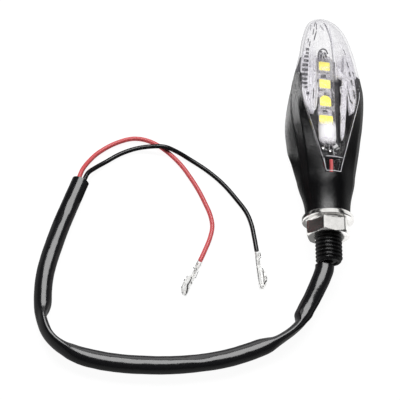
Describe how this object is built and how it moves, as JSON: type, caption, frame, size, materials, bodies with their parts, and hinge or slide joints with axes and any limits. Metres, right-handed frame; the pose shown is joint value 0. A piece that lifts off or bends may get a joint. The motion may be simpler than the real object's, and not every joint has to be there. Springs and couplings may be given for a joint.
{
  "type": "turn signal indicator",
  "caption": "Arrow-shaped LED turn signal for a motorcycle: clear lens in a black two-part shell, hollow threaded stem with a flange nut, sleeved cable with crimped terminals",
  "frame": {"origin": "under the middle of the lamp (cable aside), on the surface it lies on; the lamp's axis is 10 mm above it", "axes": "+Y from the cable end of the stem to the lens tip, +Z out of the front of the lens, X across the lamp"},
  "size_m": [0.1212, 0.1506, 0.0233],
  "materials": {
    "shell_plastic": "satin black ABS with a fine grain",
    "lens_clear": "clear moulded polycarbonate, polished",
    "prism_clear": "clear stepped prisms, greyish from the side",
    "board": "black solder mask with white marks",
    "led_phosphor": "yellow phosphor, unlit",
    "chip": "dark chip body",
    "solder": "bright solder",
    "insulation_red": "red PVC insulation",
    "insulation_black": "black PVC insulation",
    "stem_black": "black coated, semi-gloss",
    "zinc": "bright zinc plate",
    "sleeve_pvc": "glossy black PVC tube",
    "tin": "bright tin plate"
  },
  "bodies": {
    "lamp": {"front_shell": "shell_plastic", "rear_cover": "shell_plastic", "lens": "lens_clear", "optic_bar": "lens_clear", "prism_strip_left": "prism_clear", "prism_strip_right": "prism_clear", "circuit_board": "board", "led_1": "led_phosphor", "led_2": "led_phosphor", "led_3": "led_phosphor", "led_4": "led_phosphor", "resistor_1": "chip", "resistor_2": "chip", "resistor_3": "chip", "diode": "chip", "solder_red": "solder", "solder_black": "solder", "lead_red": "insulation_red", "lead_black": "insulation_black", "threaded_stem": "stem_black", "cable_sleeve": "sleeve_pvc", "wire_red": "insulation_red", "wire_black": "insulation_black", "terminal_red": "tin", "terminal_black": "tin"},
    "nut": {"flange_nut": "zinc"}
  },
  "joints": [
    {"name": "nut_travel", "type": "slide", "parent": "lamp", "child": "nut", "axis": [0, -1, 0], "range_m": [0, 0.0095]}
  ]
}
